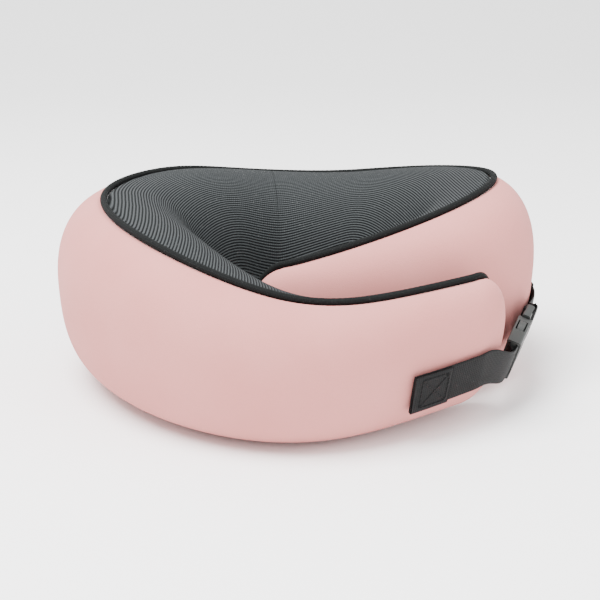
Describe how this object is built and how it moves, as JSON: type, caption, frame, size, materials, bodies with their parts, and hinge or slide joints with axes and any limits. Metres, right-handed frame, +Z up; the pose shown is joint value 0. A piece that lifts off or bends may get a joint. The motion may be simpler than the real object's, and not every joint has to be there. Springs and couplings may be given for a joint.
{
  "type": "u shaped neck pillow",
  "caption": "Soft U-shaped travel neck pillow, velour outside and ribbed mesh inside, whose crossed arms are held shut by a side-release buckle.",
  "frame": {"origin": "on the table, under the middle of the pillow's outline", "axes": "+Z up, +Y towards the back of the neck, +X to the side that the buckle is on"},
  "size_m": [0.3011, 0.278, 0.1255],
  "materials": {
    "foam": "matt slow-recovery foam",
    "liner": "thin white knit jersey",
    "velour": "dusty pink brushed velour",
    "mesh": "charcoal ribbed spacer mesh",
    "piping": "black knit piping",
    "cord": "plain filler cord",
    "webbing": "black satin polypropylene webbing",
    "thread": "black sewing thread",
    "buckle": "fine textured grey-black acetal",
    "zip_tape": "black woven tape",
    "zip_coil": "black nylon coil",
    "zip_metal": "black lacquered zinc",
    "label": "plain white woven satin"
  },
  "bodies": {
    "back": {"foam_back": "foam", "liner_back": "liner", "velour_back": "velour", "mesh_back": "mesh", "piping_back": "piping", "piping_cord_back": "cord", "side_strap": "webbing", "side_strap_stitching": "thread", "buckle_plug": "buckle", "zip_tape_lower": "zip_tape", "zip_tape_upper": "zip_tape", "zip_coil_lower": "zip_coil", "zip_coil_upper": "zip_coil", "zip_stop_top": "zip_metal", "zip_stop_bottom": "zip_metal", "care_label": "label"},
    "outer_arm": {"foam_outer_arm": "foam", "liner_outer_arm": "liner", "velour_outer_arm": "velour", "mesh_outer_arm": "mesh", "piping_outer_arm": "piping", "piping_cord_outer_arm": "cord", "outer_strap": "webbing", "outer_strap_stitching": "thread", "buckle_socket": "buckle"},
    "inner_arm": {"foam_inner_arm": "foam", "liner_inner_arm": "liner", "velour_inner_arm": "velour", "mesh_inner_arm": "mesh", "piping_inner_arm": "piping", "piping_cord_inner_arm": "cord"},
    "prong_upper": {"prong_upper": "buckle"},
    "prong_lower": {"prong_lower": "buckle"},
    "zip_slider": {"zip_slider": "zip_metal"},
    "zip_pull": {"zip_pull": "zip_metal"}
  },
  "joints": [
    {"name": "outer_arm_open", "type": "hinge", "parent": "back", "child": "outer_arm", "pos_m": [-0.1508, 0.0393, 0.05], "axis": [0, 0, -1], "range_deg": [0, 30], "stiffness_Nm_per_rad": 0.4, "deforming": ["prong_upper", "prong_lower"]},
    {"name": "inner_arm_open", "type": "hinge", "parent": "back", "child": "inner_arm", "pos_m": [0.1313, -0.0368, 0.05], "axis": [0, 0, 1], "range_deg": [0, 8], "stiffness_Nm_per_rad": 0.2},
    {"name": "prong_upper_press", "type": "hinge", "parent": "back", "child": "prong_upper", "pos_m": [0.12472, -0.05458, 0.04778], "axis": [0.8493, -0.4251, -0.3131], "range_deg": [0, 6], "stiffness_Nm_per_rad": 0.05},
    {"name": "prong_lower_press", "type": "hinge", "parent": "back", "child": "prong_lower", "pos_m": [0.12223, -0.04749, 0.03142], "axis": [-0.8493, 0.4251, 0.3131], "range_deg": [0, 6], "stiffness_Nm_per_rad": 0.05},
    {"name": "zip_slide", "type": "hinge", "parent": "back", "child": "zip_slider", "pos_m": [-0.01, 0.019, 0.012], "axis": [0, 0, 1], "range_deg": [0, 83]},
    {"name": "zip_pull_swing", "type": "hinge", "parent": "zip_slider", "child": "zip_pull", "pos_m": [0.0143, 0.04389, 0.00988], "axis": [0.4159, 0.4539, -0.788], "range_deg": [-150, 0]}
  ],
  "couplings": [
    {"joint": "inner_arm_open", "follows": "outer_arm_open", "ratio": 0.25},
    {"joint": "prong_lower_press", "follows": "prong_upper_press", "ratio": 1}
  ]
}
